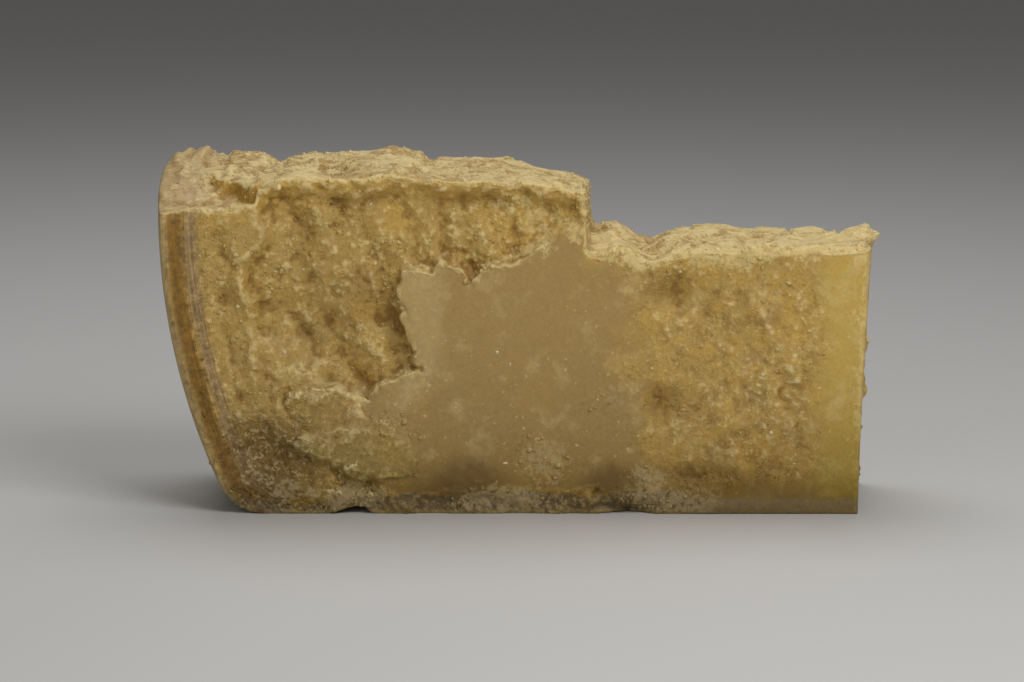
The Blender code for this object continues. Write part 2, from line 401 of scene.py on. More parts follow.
def ledge_cliff(points):
    """The low broken face behind the ledge: distance behind it, its height and its presence."""
    x, y, z = points.T
    wander = 0.0022 * swell(points * (1.0, 1.0, 0.0), 0.006, 73)
    cliff_y = 0.0035 + 1.35 * np.clip(0.029 - x, 0.0, 0.02) + wander
    height = 0.0012 + 0.42 * np.clip(x - 0.019, 0.0, 0.0105)
    present = ease(x, 0.013, 0.018) * fade(x, LEDGE_END, LEDGE_END + 0.002)
    return y - cliff_y, height, present * (z > 0.08)


def top_rise(points):
    """Rise and fall of the broken top: stepped flakes, far bumps and the face behind the ledge."""
    steps = ease(swell(points, (0.013, 0.024, 1.0), 70), -0.06, 0.06) - 0.5
    rise = 0.0013 * steps + 0.0008 * swell(points, (0.009, 0.012, 1.0), 71)
    rise += 0.0004 * swell(points, 0.0045, 72)
    x, y, _ = points.T
    for start, end, bump in FAR_BUMPS:
        share = ease(x, start, start + 0.001) * fade(x, end - 0.001, end)
        share *= ease(y, 0.03, 0.038)
        rise += share * (bump - 0.7 * rise)
    behind, height, present = ledge_cliff(points)
    rise += height * present * ease(behind, -0.0004, 0.0005) * fade(behind, 0.003, 0.02)
    return rise


# The base edge arches up beside a small hanging tip: x of its start, crown and end, and height.
BASE_ARCH = (0.05, 0.0614, 0.0652, 0.0024)


def base_arch(points):
    """Rise of the broken edge of the base."""
    x, y, z = points.T
    start, crown, end, height = BASE_ARCH
    along = ease(x, start, crown) * fade(x, crown + 0.0004, end)
    return height * along * fade(z, 0.0, 0.006) * fade(y, 0.003, 0.01)


def back_recess(points):
    """How far the torn back lies behind its broad shape."""
    flat_points = points * (1.0, 0.0, 1.0)
    return 0.0012 * swell(flat_points, 0.015, 75) + 0.0007 * swell(flat_points, 0.007, 76)


LIP_SLOTS = 218


def height_of_lip(points, normals):
    """Height of the front's top edge above each point, read in slots about a millimetre wide."""
    x, y, z = points.T
    at_front = (y < 0.004) & (normals[:, 1] < 0.3)
    slot = np.clip((x / LENGTH * LIP_SLOTS).astype(int), 0, LIP_SLOTS - 1)
    top = np.zeros(LIP_SLOTS)
    np.maximum.at(top, slot[at_front], z[at_front])
    padded = np.pad(top, 2, mode="edge")
    top = np.min([padded[i:i + LIP_SLOTS] for i in range(5)], axis=0)
    beside_ledge = (x > LEDGE_END - 0.0014) & (x < LEDGE_END + 0.0036)
    x = np.where(beside_ledge, LEDGE_END + 0.0036, x)
    return np.interp(x, (np.arange(LIP_SLOTS) + 0.5) / LIP_SLOTS * LENGTH, top)


# First cut: even cells, its edges rounded (most of all along the low top), and then the front,
# top and back set to their torn relief.
body_mesh = recut(coarse_mesh, FIRST_CELL)
points, normals, edges = read_points(body_mesh)
rounded = blurred(points, edges, 6)
rolled = blurred(rounded, edges, 34)
local = points - ORIGIN
x, _, z = local.T
low_lip = ease(x, 0.128, 0.14) * ease(z, 0.06, 0.07)
above_base = ease(z, 0.0004, 0.0035)
points += above_base[:, None] * (rounded - points)
points += (above_base * low_lip)[:, None] * (rolled - points)
write_points(body_mesh, squared_ledge(points - ORIGIN) + ORIGIN)
points, normals, edges = read_points(body_mesh)
points -= ORIGIN
x, y, z = points.T
lip = height_of_lip(points, normals)
parts = front_parts(points, lip)
soft_normals = blurred(normals, edges, 2)
forward = 0.4 + 0.34 * low_lip
facing_front = ease(-soft_normals[:, 1], forward, forward + 0.25) * (y < 0.013)
facing_back = ease(soft_normals[:, 1], 0.3, 0.7)
facing_up = ease(soft_normals[:, 2], 0.4, 0.8)
recess = front_recess(points, parts)
base_slide = (normals[:, 2] < -0.5) * fade(y, 0.002, 0.016) * (1.0 - facing_front)
y += facing_front * (recess - y) + base_slide * recess
y -= facing_back * ease(z, 0.0002, 0.0012) * back_recess(points)
z += facing_up * top_rise(points) + base_arch(points)
write_points(body_mesh, points + ORIGIN)

# Second cut: even cells again over the steep walls, then the grain of the tear.
body_mesh = recut(body_mesh, SECOND_CELL)
points, normals, edges = read_points(body_mesh)
points += ease(points[:, 2] - cad_low.z, 0.0004, 0.002)[:, None] * (blurred(points, edges, 1) - points)
write_points(body_mesh, points)
points, normals, edges = read_points(body_mesh)
points -= ORIGIN
broad = blurred(normals, edges, 12)
edge_share = 1.0 - np.linalg.norm(broad, axis=1)
broad /= np.linalg.norm(broad, axis=1)[:, None]

SLANT = math.radians(66)
STREAK_CELL = (0.0034, 0.005, 0.013)
KERNEL_SIZES = ((0.0052, 0.0007, 41), (0.0029, 0.0006, 42), (0.0017, 0.00042, 43))


def grain_height(points):
    """Height of the torn grain: slanting streaks, packed kernels and fine grit."""
    x, y, z = points.T
    across = x * math.sin(SLANT) + z * math.cos(SLANT)
    along = -x * math.cos(SLANT) + z * math.sin(SLANT)
    slanted = torn(np.stack([across, y, along], axis=1), 0.0012, seed=50)
    height = 0.00075 * swell(slanted, STREAK_CELL, 56)
    patchy = 0.75 + 0.5 * swell(points, 0.01, 57)
    for size, rise, seed in KERNEL_SIZES:
        height += rise * patchy * kernels(points, size, seed)
    return height


# Places of the front by colour: x and z of the middle and reach along each in millimetres, then
# strength. First the dark ones: painted shade in hollows and along the base, with some staining.
DARK_PATCHES = (
    (33, 15, 17, 18, 0.9), (91, 11, 16, 8, 0.8), (137, 11, 13, 7, 0.8), (154, 68, 9, 7, 0.5),
    (153, 33, 9, 7, 0.5), (168, 11, 20, 7, 0.55), (48, 54, 8, 6, 0.4), (57, 64, 17, 12, 0.36),
    (45, 74, 12, 12, 0.22), (142, 2, 9, 5, 0.5), (190, 2, 40, 5, 0.45),
)
# Dried paste dusted with fine crumbs.
DUSTY_PATCHES = (
    (117, 16, 9, 10, 0.75), (106, 5, 20, 6, 0.8), (147, 8, 7, 9, 0.9), (158, 4, 15, 6, 0.8),
    (138, 35, 8, 5, 0.6), (59, 6.2, 14, 5, 1), (31.5, 10.6, 4, 1.8, 1), (38.5, 9, 6.5, 1.6, 1),
    (45.5, 7, 5.5, 2.6, 1), (34, 20, 6, 2.2, 0.6), (72, 28, 10, 5, 0.5), (36, 6, 10, 3, 0.7),
)
# Pale crumbly paste, with painted highlight at the step and painted light in the hollow's upper right.
PALE_PATCHES = (
    (127.5, 85, 7.5, 5.5, 0.75), (135, 80, 7, 3.5, 0.8), (40, 43.5, 8, 5, 0.55), (50, 60, 7, 3, 0.4),
    (65, 80, 6, 5, 0.35), (90, 79, 12, 3, 0.5), (114, 80, 8, 3, 0.6), (80, 40, 10, 4, 0.3),
    (116, 89.5, 10, 7, 0.75), (108, 93.5, 10, 5.5, 0.6),
)
# Painted glow: golden colour for light shining through the paste, under the lip and on the right.
GLOWING_PATCHES = (
    (106, 92, 15, 8, 0.9), (118, 90, 8, 7, 0.8), (192, 66, 8, 11, 0.7),
)
# Crusts of cream-coloured crumbs.
CREAM_CRUMBS = (
    (52.6, 5.8, 3, 1.6, 1), (57.3, 13.5, 2.4, 2, 0.8), (62, 5.6, 2.2, 1.6, 0.8), (50, 38, 3, 1.2, 0.7),
)


def patch_share(points, patches, seed):
    """How strongly any of the patches is present at the points."""
    x, _, z = torn(points, 0.0022, seed).T
    share = np.zeros(len(points))
    for *place, strength in patches:
        middle_x, middle_z, reach_x, reach_z = from_mm(place)
        away = np.hypot((x - middle_x) / reach_x, (z - middle_z) / reach_z)
        share = np.maximum(share, strength * fade(away, 0.35, 1.15))
    return share


def grain_strength(points, normals, parts):
    """How rough the surface is at each point, from 0 on wax-smooth paste to 1 in the tear."""
    x, y, z = points.T
    front = ease(-normals[:, 1], 0.25, 0.6)
    back = ease(normals[:, 1], 0.25, 0.6)
    up = ease(normals[:, 2], 0.3, 0.7)
    plates = np.maximum(parts.upper, parts.lower)
    on_front = np.maximum.reduce([
        parts.torn_hollow, 0.66 * parts.torn_right, 0.52 * parts.left,
        0.95 * parts.foot, 0.95 * parts.low])
    on_front = on_front * (1.0 - 0.7 * plates) + 0.22 * plates + 0.05
    on_back = 0.3 + 0.6 * ease(swell(points, 0.034, 61), -0.25, 0.25)
    on_step = ease(normals[:, 0], 0.5, 0.8) * (np.abs(x - STEP_X) < 0.006)
    on_front = np.maximum(on_front, 0.3 * patch_share(points, DUSTY_PATCHES, 84))
    on_cliff = ease(y, 0.003, 0.0045) * (z > 0.088) * (x < 0.036)
    on_front = np.maximum(on_front, 0.9 * on_cliff)
    strength = front * on_front + back * on_back + 0.55 * up + 0.8 * on_step
    return np.clip(strength, 0.03, 1.0)


lip = height_of_lip(points, normals)
parts = front_parts(points, lip)
strength = grain_strength(points, broad, parts)
x, y, z = points.T
rind_side = (broad[:, 0] < -0.35) & (x < RIND_REACH)
cut_side = (broad[:, 0] > 0.6) & (x > 0.2)
base_side = broad[:, 2] < -0.6
smooth_side = blurred((rind_side | cut_side | base_side).astype(float)[:, None], edges, 6)[:, 0]
strength *= 1.0 - 0.94 * smooth_side
from_fringe = np.hypot(x - FRINGE_LINE[0], y - FRINGE_LINE[1])
strength = np.maximum(strength, 0.9 * fade(from_fringe, 0.002, 0.0042))
height = strength * grain_height(points)
crumbling = ease(edge_share, 0.06, 0.22) * (1.0 - 0.6 * smooth_side)
step_corner = (np.abs(x - STEP_X) < 0.0045) & (z > 0.078) & (y < 0.008)
crumbling *= 1.0 + 1.3 * step_corner
height += 0.0007 * crumbling * (kernels(points, 0.003, 62) + 0.4 * swell(points, 0.005, 63))
height += 0.0005 * crumbling * kernels(points, 0.0017, 64)
height += 0.0008 * parts.brink * ease(-broad[:, 1], 0.2, 0.6) * (kernels(points, 0.0021, 65) + 0.2)
height *= ease(z, 0.0002, 0.0025)
points += broad * height[:, None]
points[:, 2] = np.maximum(points[:, 2], 0.0)
write_points(body_mesh, points + ORIGIN)

body_mesh = finished(body_mesh, "TRIANGULATE")
body_mesh = finished(body_mesh, "DECIMATE", ratio=min(1.0, TRIANGLE_LIMIT / len(body_mesh.polygons)))
body_mesh.name = "cheese_body"
body_mesh.shade_smooth()
body = placed("cheese_body", body_mesh)

# What the finish reads off the shape: depths below the rind and above the base in millimetres,
# hollows at two sizes, and how rough the tear is.
points, normals, edges = read_points(body_mesh)


def gap_to_rind(points):
    """Distance in millimetres to the barrelled rind side of the frame's solid."""
    shape = solid_copy()
    outer = []
    for face in shape.faces:
        leftwards = face.normal.x < -0.35 and abs(face.normal.y) < 0.4 and face.normal.z < 0.35
        if not (leftwards and face.calc_center_median().x < cad_low.x + RIND_REACH):
            outer.append(face)
    bmesh.ops.delete(shape, geom=outer, context="FACES")
    tree = BVHTree.FromBMesh(shape)
    shape.free()
    return np.array([tree.find_nearest(point)[3] for point in points.tolist()]) * MM


def hollowness(points, normals, edges, times, scale):
    """How far each point lies below its surroundings, from -1 on ridges to 1 in pits."""
    sunk = ((blurred(points, edges, times) - points) * normals).sum(axis=1)
    return np.clip(sunk / scale, -1.0, 1.0)


def keep(name, values):
    """Store a value for each point of the body."""
    attribute = body_mesh.attributes.new(name, "FLOAT", "POINT")
    attribute.data.foreach_set("value", values.astype(np.float32))


broad = blurred(normals, edges, 10)
broad /= np.linalg.norm(broad, axis=1)[:, None]
local = points - ORIGIN
x, y, z = local.T
lip = height_of_lip(local, normals)
below_lip = lip - z
rind_gap = gap_to_rind(points)
parts = front_parts(local, lip)
on_front = ease(-broad[:, 1], 0.2, 0.5)
plates = np.maximum(parts.upper, parts.lower) * on_front
roughness = grain_strength(local, broad, parts)
keep("rind_gap", rind_gap)
keep("base_gap", z * MM)
keep("pit", hollowness(points, normals, edges, 4, 0.00022))
keep("bowl", hollowness(points, normals, edges, 40, 0.0011))
keep("rough", roughness)
keep("plate", plates)
keep("low", parts.low * on_front * fade(z, 0.024, 0.034))
keep("skin", fade(rind_gap, 0.5, 1.1) * (broad[:, 0] < -0.2))
keep("strip", ease(x, 0.194, 0.204))
keep("shade", on_front * patch_share(local, DARK_PATCHES, 80))
keep("clean_foot", ease(x, 0.152, 0.164))
keep("right_rough", parts.right * on_front)

# A paler piece of the flat beside the hollow, cut off by an upright seam.
piece_away = np.hypot((x - 0.0785) / 0.012, (z - 0.057) / 0.028) + 0.25 * swell(local, 0.006, 94)
past_seam = ease(x, 0.0858, 0.0864) * ease(z, 0.05, 0.058)
keep("pale_piece",
     fade(piece_away, 0.6, 1.1) * (1.0 - past_seam) * (1.0 - parts.hollow) * on_front)

# Cream crumbs: the fringe of the cut end and the tip of the corner flake, partly painted rim light, and
# crusts near the foot.
from_fringe = np.hypot(x - FRINGE_LINE[0], y - FRINGE_LINE[1]) + 0.0012 * swell(local, 0.003, 86)
fringe = fade(from_fringe, 0.001, 0.0024) * ease(z, FRINGE_FROM_Z - 0.003, FRINGE_FROM_Z)
fringe *= fade(z, FRINGE_TO_Z, FRINGE_TO_Z + 0.0025)
tip = ease(x, 0.215, 0.218) * ease(z, 0.079, 0.0812)
cream = on_front * patch_share(local, CREAM_CRUMBS, 95)
keep("dust", np.maximum(on_front * patch_share(local, DUSTY_PATCHES, 84), fringe))
keep("white", np.maximum.reduce([fringe, tip * 0.9, cream]))

# The top, the low broken face behind the ledge, the pale lip (partly painted highlight on lit edges), and
# painted glow under both for light shining through the paste.
behind, _, cliff_present = ledge_cliff(local)
steep = fade(broad[:, 2], 0.8, 0.94)
on_cliff = steep * ease(behind, -0.003, -0.0008) * fade(behind, 0.0005, 0.0012) * cliff_present
on_cliff *= ease(y, 0.0008, 0.0016)
over_cliff = cliff_present * ease(behind, 0.0003, 0.001) * fade(behind, 0.0018, 0.0042)
over_cliff *= ease(broad[:, 2], 0.3, 0.5)
step_wall = ease(broad[:, 0], 0.35, 0.65) * (np.abs(x - STEP_X) < 0.007) * (z > 0.078)
upward = np.maximum(ease(broad[:, 2], 0.25, 0.65), step_wall)
keep("upward", upward * (1.0 - on_cliff))
keep("cliff", on_cliff)
past_step = ease(x, 0.128, 0.14)
near_front = on_front * fade(y, 0.005, 0.0075)
under_lip = np.clip(below_lip, 0.0, 1.0) * MM / (1.5 + 4.8 * past_step)
# Painted highlight with pale crumbly paste: lit edges along the front's top, the cut end's corner and the
# brinks.
on_lip = near_front * fade(under_lip + 0.55 * swell(local, 0.0045, 88), 0.1, 1.25)
cut_rim = 0.75 * on_front * ease(broad[:, 0], 0.04, 0.3) * (x > 0.205)
keep("lip", np.maximum.reduce([
    on_lip * (1.0 - on_cliff), cut_rim, on_front * patch_share(local, PALE_PATCHES, 92),
    0.45 * parts.brink * on_front, over_cliff]))
# Painted glow: warm colour under the lip, on the face behind the ledge and in the glowing patches,
# standing in for light through the paste.
glow_reach = 6.0 + 3.0 * swell(local, 0.009, 87)
under_glow = near_front * fade(below_lip * MM / glow_reach, 0.3, 1.3)
under_glow *= 1.0 - 0.6 * past_step
right_glow = patch_share(local, GLOWING_PATCHES, 93) * on_front
keep("glow", np.maximum.reduce([under_glow, on_cliff, right_glow]))

# How thick the grains, crumbs and crystals lie, and how far each point is above the foot's band.
above_edge = z > 0.001
rind_section = fade(rind_gap, 9.0, 13.0)
torn_share = ease(roughness, 0.2, 0.6) * (1.0 - 0.8 * rind_section)
clumped = ease(swell(local, 0.009, 90), -0.35, 0.55)
keep("grain_share", torn_share * clumped * (1.0 - 0.7 * parts.right * on_front) * above_edge)
keep("crystal_share", (0.25 + 0.75 * torn_share) * (rind_gap > 7.0) * above_edge)
near_lip = on_front * fade(np.abs(below_lip), 0.0006, 0.0022)
foot_share = on_front * fade(z, 0.003, 0.009) * above_edge
plate_rim = ease(np.abs(plates - 0.5), 0.5, 0.25)
crumb_share = np.maximum.reduce([
    0.4 * near_lip, 0.5 * parts.brink * on_front, 0.8 * foot_share * (x < 0.16), 0.9 * fringe,
    0.9 * cream, 0.3 * (from_fringe < 0.0022), 0.35 * plate_rim,
    0.5 * on_front * patch_share(local, DUSTY_PATCHES, 84)])
keep("crumb_share", crumb_share * ease(swell(local, 0.007, 91), -0.3, 0.4))
foot_top = 4.6 - 2.6 * fade(x, 0.05, 0.068)
foot_top += 1.6 * fade(x, 0.15, 0.166) * (0.9 + 1.1 * swell(local, 0.011, 89))
keep("foot_gap", np.where(broad[:, 1] < 0.0, z * MM - foot_top, 9.0))


class Field:
    """A socket of a node tree, which takes part in sums as a number would."""

    def __init__(self, tree, socket=None):
        self.tree = tree
        self.socket = socket

    def node(self, kind, output, values=None, **settings):
        """Add a node: its settings first, then a number or field per socket."""
        node = self.tree.nodes.new(kind)
        for name, setting in settings.items():
            setattr(node, name, setting)
        for name, value in (values or {}).items():
            if isinstance(value, Field):
                self.tree.links.new(value.socket, node.inputs[name])
            else:
                node.inputs[name].default_value = value
        return Field(self.tree, node.outputs[output])

    def maths(self, operation, first, second):
        return self.node("ShaderNodeMath", 0, {0: first, 1: second}, operation=operation)

    def __add__(self, other):
        return self.maths("ADD", self, other)

    def __mul__(self, other):
        return self.maths("MULTIPLY", self, other)

    def __sub__(self, other):
        return self.maths("SUBTRACT", self, other)

    def __rsub__(self, other):
        return self.maths("SUBTRACT", other, self)

    __radd__ = __add__
    __rmul__ = __mul__

    def rise(self, start, end):
        """Smooth 0 to 1 as this field goes from start to end."""
        values = {"Value": self, "From Min": start, "From Max": end}
        return self.node("ShaderNodeMapRange", 0, values, interpolation_type="SMOOTHSTEP")

    def fall(self, start, end):
        return 1.0 - self.rise(start, end)

    def mix(self, under, over):
        """The colour under, turned to the colour over as this field goes from 0 to 1."""
        return self.node("ShaderNodeMix", 2, {0: self, 6: under, 7: over}, data_type="RGBA")

    def scaling(self, vector):
        """The colour or vector made this many times as bright or long."""
        return self.node("ShaderNodeVectorMath", 0, {0: vector, "Scale": self}, operation="SCALE")

    def times(self, colour, tint):
        """The colour multiplied by a tint as this field goes from 0 to 1."""
        values = {0: self, 6: colour, 7: tint}
        return self.node("ShaderNodeMix", 2, values, data_type="RGBA", blend_type="MULTIPLY")


def read_field(tree, name):
    """A value kept on the piece's mesh."""
    return Field(tree).node("ShaderNodeAttribute", "Fac", attribute_name=name)


def object_place(tree):
    """Where each point is on the piece."""
    return Field(tree, tree.nodes.new("ShaderNodeTexCoord").outputs["Object"])


def noise(place, scale, detail=3.0, roughness=0.55):
    """Cloudy noise from 0 to 1."""
    values = {"Vector": place, "Scale": scale, "Detail": detail, "Roughness": roughness}
    return place.node("ShaderNodeTexNoise", 0, values)


WAXY = (0.41, 0.268, 0.084, 1)
TORN = (0.5, 0.325, 0.084, 1)
GOLDEN = (0.6, 0.37, 0.074, 1)
OLIVE = (0.615, 0.415, 0.088, 1)
AMBER_GLOW = (0.43, 0.23, 0.03, 1)
DEEP = (0.25, 0.125, 0.016, 1)
PALE = (0.74, 0.58, 0.27, 1)
DRY_TOP = (0.52, 0.375, 0.14, 1)
TOP_PALE = (0.705, 0.545, 0.245, 1)
TOP_TAN = (0.43, 0.268, 0.086, 1)
RIND_BROWN = (0.285, 0.142, 0.01, 1)
RIND_PINK = (0.395, 0.262, 0.122, 1)
RIND_OUTER = (0.385, 0.268, 0.1, 1)
RIND_SKIN = (0.49, 0.36, 0.16, 1)
SKIN_DARK = (0.42, 0.295, 0.125, 1)
DUST = (0.48, 0.36, 0.168, 1)
STAIN_AND_SHADE = (0.16, 0.083, 0.01, 1)
FOOT_RIND = (0.265, 0.19, 0.082, 1)
FOOT_DARK = (0.14, 0.092, 0.032, 1)
CREAM = (0.74, 0.58, 0.29, 1)
LIP = (0.68, 0.52, 0.208, 1)
TOP_ROSE = (0.49, 0.33, 0.15, 1)
SPECK_PINK = (0.62, 0.45, 0.25, 1)
LOW_TINT = (0.82, 0.78, 0.6, 1)
FOOT_TINT = (0.82, 0.78, 0.5, 1)
STRIP_TINT = (0.8, 0.83, 0.56, 1)
PLATE_TINT = (0.88, 0.93, 0.93, 1)


def new_material(name, constants):
    """A new material and its Principled shader, set to these constants."""
    material = bpy.data.materials.new(name)
    material.use_nodes = True
    shader = material.node_tree.nodes["Principled BSDF"]
    for title, value in constants.items():
        shader.inputs[title].default_value = value
    return material, material.node_tree, shader


def specks(place, scale):
    """Small uneven spots of mixed sizes, from 0 to 1."""
    stray = place.node("ShaderNodeTexNoise", "Color", {"Vector": place, "Scale": 1100.0, "Detail": 1.0})
    values = {0: stray, 1: (0.0012, 0.0012, 0.0012), 2: place}
    place = place.node("ShaderNodeVectorMath", 0, values, operation="MULTIPLY_ADD")
    spots = place.node("ShaderNodeTexVoronoi", "Distance", {"Vector": place, "Scale": scale})
    drawn = Field(place.tree, spots.socket.node.outputs["Color"])
    reach = place.node("ShaderNodeSeparateXYZ", "X", {0: drawn}) * 0.2 - 0.01
    return (reach - spots).rise(0.0, 0.05)


PASTE_FIELDS = (
    "rind_gap", "base_gap", "pit", "bowl", "rough", "plate", "upward", "skin", "shade", "dust", "glow",
    "low", "clean_foot", "right_rough", "strip", "lip", "foot_gap", "white", "cliff", "pale_piece",
)


def readings(tree):
    """What the finish of the paste is worked out from: values off the mesh, and noise."""
    at = SimpleNamespace(**{name: read_field(tree, name) for name in PASTE_FIELDS})
    at.place = object_place(tree)
    at.patches = noise(at.place, 42.0, 3.0, 0.5)
    at.cloud = noise(at.place, 130.0, 3.0, 0.6)
    at.mottle = noise(at.place, 300.0, 4.0, 0.65)
    at.crumbs = noise(at.place, 620.0, 3.0, 0.6)
    at.grit = noise(at.place, 1150.0, 3.0, 0.7)
    at.torn = at.rough.rise(0.08, 0.45)
    at.low_down = at.base_gap.fall(15.0, 60.0)
    return at


def fresh_paste(at):
    """Smooth and torn paste, with its golden, olive, pale and deep places."""
    colour = at.torn.mix(WAXY, TORN)
    colour = (at.patches.rise(0.5, 0.66) * (0.1 + at.torn * 0.45)).mix(colour, GOLDEN)
    colour = (at.strip * 0.8).mix(colour, OLIVE)
    colour = (at.pale_piece * 0.24).mix(colour, PALE)
    share = 0.2 - at.torn * 0.1 + at.right_rough * 0.22 + at.low_down * 0.14
    share = at.cloud.rise(0.52, 0.7) * share
    colour = (share + at.strip * at.cloud.rise(0.5, 0.62) * 0.1).mix(colour, PALE)
    warmth = noise(at.place, 210.0, 2.0, 0.5)
    colour = (warmth.rise(0.5, 0.64) * at.right_rough * 0.55).mix(colour, GOLDEN)
    return (warmth.fall(0.38, 0.46) * (at.right_rough * 0.24 + at.torn * 0.1)).mix(colour, DEEP)


def broken_top(at, colour):
    """The dry top, painted glow under its lip and on the face behind the ledge, and the rosy top beside
    the rind.
    """
    tone = (at.patches * 0.35 + at.cloud * 0.25 + at.mottle * 0.4).rise(0.43, 0.55)
    dry = tone.mix(tone.fall(0.0, 0.5).mix(DRY_TOP, TOP_TAN), TOP_PALE)
    colour = (at.upward * 0.9).mix(colour, dry)
    # Painted glow: golden under the lip and in the glowing patches, amber on the face behind the ledge.
    colour = (at.glow * 0.5).mix(colour, GOLDEN)
    colour = (at.cliff * 0.75).mix(colour, AMBER_GLOW)
    rosy = at.upward * at.rind_gap.fall(7.0, 22.0) * (at.patches + at.mottle).rise(0.75, 1.05)
    return (rosy * 0.75).mix(colour, TOP_ROSE)


def grain_colours(at, colour):
    """Painted shade in the tear's hollows and painted highlight on its ridges, pale flecks, and the pale
    lip, partly painted highlight.
    """
    # Painted shade in pits and hollows, with random darker tone.
    deep = at.pit * 0.45 + at.bowl * 0.75 + (at.mottle - 0.5) * 0.9 + (0.5 - at.crumbs) * 1.2
    share = at.torn * (0.85 - at.upward * 0.3 - at.glow * 0.35)
    colour = (deep.rise(0.1, 1.0) * share).mix(colour, DEEP)
    # Painted highlight on raised ridges, with random paler crumbs.
    ridge = (at.mottle - 0.5) * 1.3 - at.pit * 0.7 - at.bowl * 0.3 + (at.crumbs - 0.5) * 1.6
    share = at.torn * 0.76 + at.plate * 0.4 + at.right_rough * 0.12
    colour = (ridge.rise(0.1, 0.85) * share).mix(colour, PALE)
    fleck = specks(at.place, 330.0) * 0.75 + specks(at.place, 520.0) * 0.6
    colour = (fleck * at.base_gap.fall(20.0, 95.0)).mix(colour, PALE)
    # The pale lip: painted highlight on lit edges, mixed with crumbly paste.
    broken = (at.lip + (at.crumbs - 0.5) * 2.0 + (at.mottle - 0.5) * 2.0).rise(0.35, 0.95)
    return (broken * at.lip.rise(0.0, 0.3) * 0.8).mix(colour, LIP)


def rind_colours(at, colour):
    """The rind's section over the paste: pale outer strip, brown band, pinkish grey band."""
    share = 1.0 - at.upward * 0.75
    wave = noise(at.place, 70.0, 3.0) * 2.0 + at.mottle * 1.4 - 1.7
    split = at.place.node("ShaderNodeSeparateXYZ", "Z", {0: at.place})
    values = {"X": at.rind_gap * 1.6, "Z": split * 28.0}
    lines = noise(at.place.node("ShaderNodeCombineXYZ", 0, values), 1.0, 2.0)
    depth = at.rind_gap + wave + (lines - 0.5) * 2.4 + (at.crumbs - 0.5) * 1.6
    brown = depth.rise(1.8, 3.4) * depth.fall(5.6, 8.4) * share
    pink = depth.rise(7.0, 8.6) * depth.fall(9.6, 12.6) * share
    colour = (depth.fall(1.6, 3.0) * 0.75).mix(colour, RIND_OUTER)
    colour = (brown * (0.45 + at.mottle * 0.5 + lines * 0.5)).mix(colour, RIND_BROWN)
    colour = (pink * (0.2 + at.mottle * 0.5 + at.crumbs * 0.5)).mix(colour, RIND_PINK)
    streaked = ((lines - 0.5) * 1.2 + (at.crumbs - 0.5) * 1.5 + 0.9).scaling(colour)
    return (at.rind_gap.fall(10.0, 14.0) * share).mix(colour, streaked)


def low_colours(at, colour):
    """Painted shade with some staining, pinkish flecks, and tints that darken the paste towards the base,
    partly painted shade and partly browner paste.
    """
    # Painted shade with some staining: the dark patches darken hollows, the arch notch and the base.
    colour = (at.shade * (0.32 + at.mottle * 0.8)).mix(colour, STAIN_AND_SHADE)
    fleck = (at.grit * 0.4 + at.crumbs * 0.6).rise(0.52, 0.6)
    colour = (at.low * fleck * 0.75).mix(colour, SPECK_PINK)
    # Painted shade, partly browner paste: these tints darken the paste and the cut end's strip towards
    # the base.
    off_rind = 1.0 - at.rind_gap.fall(10.0, 15.0) * 0.8
    colour = (at.base_gap.fall(3.0, 34.0) * off_rind).times(colour, LOW_TINT)
    colour = (at.base_gap.fall(5.0, 17.0) * off_rind).times(colour, FOOT_TINT)
    colour = (at.strip * at.base_gap.fall(4.0, 45.0)).times(colour, STRIP_TINT)
    return (at.plate * at.base_gap.fall(16.0, 34.0)).times(colour, PLATE_TINT)


def outer_colours(at, colour):
    """The foot's rind band darkened with painted shade, dust, the wheel's skin, the cream crusts, and the
    cream fringe and flake tip, partly painted rim light.
    """
    # The foot's rind band, its colours darkened with painted shade along the base.
    foot = (at.foot_gap + (at.grit - 0.5) * 2.4 + (at.mottle - 0.5) * 2.0).fall(-0.5, 0.6)
    tone = (at.crumbs + at.clean_foot * 0.14 - at.pit * 0.08).rise(0.42, 0.6)
    colour = (foot * (0.78 + at.pit * 0.3)).mix(colour, tone.mix(FOOT_DARK, FOOT_RIND))
    dusty = (at.dust + foot * 0.22 + (at.grit - 0.5) * 1.6 + (at.crumbs - 0.5) * 3.0).rise(0.5, 0.8)
    dusty = dusty * (at.dust + foot * 0.5).rise(0.0, 0.3)
    colour = (dusty * (0.32 + at.dust * 0.34 - at.clean_foot * 0.16)).mix(colour, DUST)
    skin_tone = noise(at.place, 160.0, 5.0, 0.7).rise(0.4, 0.62).mix(SKIN_DARK, RIND_SKIN)
    colour = (at.skin * 0.92).mix(colour, skin_tone)
    # Cream crusts near the foot; on the fringe and the flake tip the cream is partly painted rim light.
    crusty = (at.white + (at.crumbs - 0.5) * 1.8 + (at.mottle - 0.5) * 1.4).rise(0.4, 0.9)
    return (crusty * at.white.rise(0.0, 0.3) * 0.9).mix(colour, CREAM)


